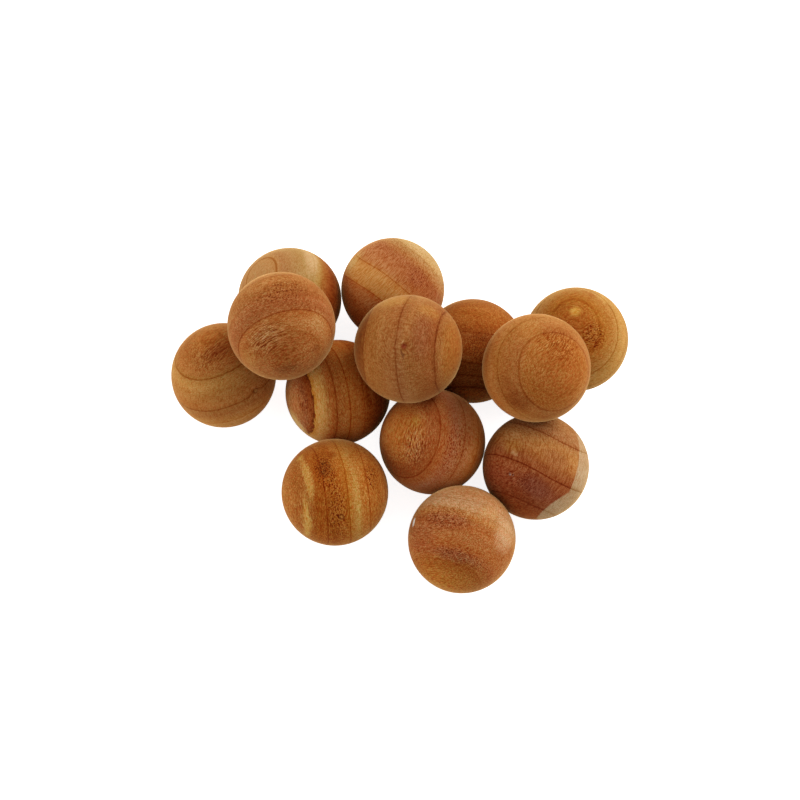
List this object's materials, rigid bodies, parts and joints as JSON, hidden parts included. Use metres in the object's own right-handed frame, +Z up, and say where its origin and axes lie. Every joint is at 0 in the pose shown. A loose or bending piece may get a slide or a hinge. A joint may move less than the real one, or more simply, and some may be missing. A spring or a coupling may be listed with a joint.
{
  "type": "cedar balls",
  "caption": "Heap of plain turned cedar balls that scent stored clothes, some on the floor and some lying on top.",
  "frame": {"origin": "on the floor under the middle of the heap", "axes": "+X along the heap's length to the viewer's right, +Y away from the viewer, +Z up"},
  "size_m": [0.1098, 0.0886, 0.0449],
  "materials": {
    "ball_inner_front": "sanded cedar, unvarnished",
    "ball_inner_right": "sanded cedar, unvarnished",
    "ball_inner_left": "sanded cedar, unvarnished",
    "ball_right_front": "sanded cedar, unvarnished",
    "ball_right_back": "sanded cedar, unvarnished",
    "ball_back": "sanded cedar, unvarnished",
    "ball_back_left": "sanded cedar, unvarnished",
    "ball_left": "sanded cedar, unvarnished",
    "ball_front_left": "sanded cedar, unvarnished",
    "ball_front": "sanded cedar, unvarnished",
    "top_ball_left": "sanded cedar, unvarnished",
    "top_ball_middle": "sanded cedar, unvarnished",
    "top_ball_right": "sanded cedar, unvarnished"
  },
  "bodies": {
    "heap_core": {"ball_inner_front": "ball_inner_front", "ball_inner_right": "ball_inner_right", "ball_inner_left": "ball_inner_left"},
    "back_left": {"ball_back_left": "ball_back_left"},
    "back": {"ball_back": "ball_back"},
    "left": {"ball_left": "ball_left"},
    "right_back": {"ball_right_back": "ball_right_back"},
    "right_front": {"ball_right_front": "ball_right_front"},
    "front": {"ball_front": "ball_front"},
    "front_left": {"ball_front_left": "ball_front_left"},
    "top_left": {"top_ball_left": "top_ball_left"},
    "top_middle": {"top_ball_middle": "top_ball_middle"},
    "top_right": {"top_ball_right": "top_ball_right"}
  },
  "joints": [
    {"name": "back_left_roll_out", "type": "slide", "parent": "heap_core", "child": "back_left", "axis": [-0.5736, 0.8192, 0], "range_m": [0, 0.04]},
    {"name": "back_roll_out", "type": "slide", "parent": "heap_core", "child": "back", "axis": [0, 1, 0], "range_m": [0, 0.04]},
    {"name": "left_roll_out", "type": "slide", "parent": "heap_core", "child": "left", "axis": [-0.9848, -0.1736, 0], "range_m": [0, 0.04]},
    {"name": "right_back_roll_out", "type": "slide", "parent": "heap_core", "child": "right_back", "axis": [0.866, 0.5, 0], "range_m": [0, 0.04]},
    {"name": "right_front_roll_out", "type": "slide", "parent": "heap_core", "child": "right_front", "axis": [0.848, -0.5299, 0], "range_m": [0, 0.04]},
    {"name": "front_roll_out", "type": "slide", "parent": "heap_core", "child": "front", "axis": [0, -1, 0], "range_m": [0, 0.04]},
    {"name": "front_left_roll_out", "type": "slide", "parent": "heap_core", "child": "front_left", "axis": [-0.7071, -0.7071, 0], "range_m": [0, 0.04]},
    {"name": "top_left_lift", "type": "slide", "parent": "heap_core", "child": "top_left", "axis": [0, 0, 1], "range_m": [0, 0.03]},
    {"name": "top_middle_lift", "type": "slide", "parent": "heap_core", "child": "top_middle", "axis": [0, 0, 1], "range_m": [0, 0.03]},
    {"name": "top_right_lift", "type": "slide", "parent": "heap_core", "child": "top_right", "axis": [0, 0, 1], "range_m": [0, 0.03]}
  ]
}
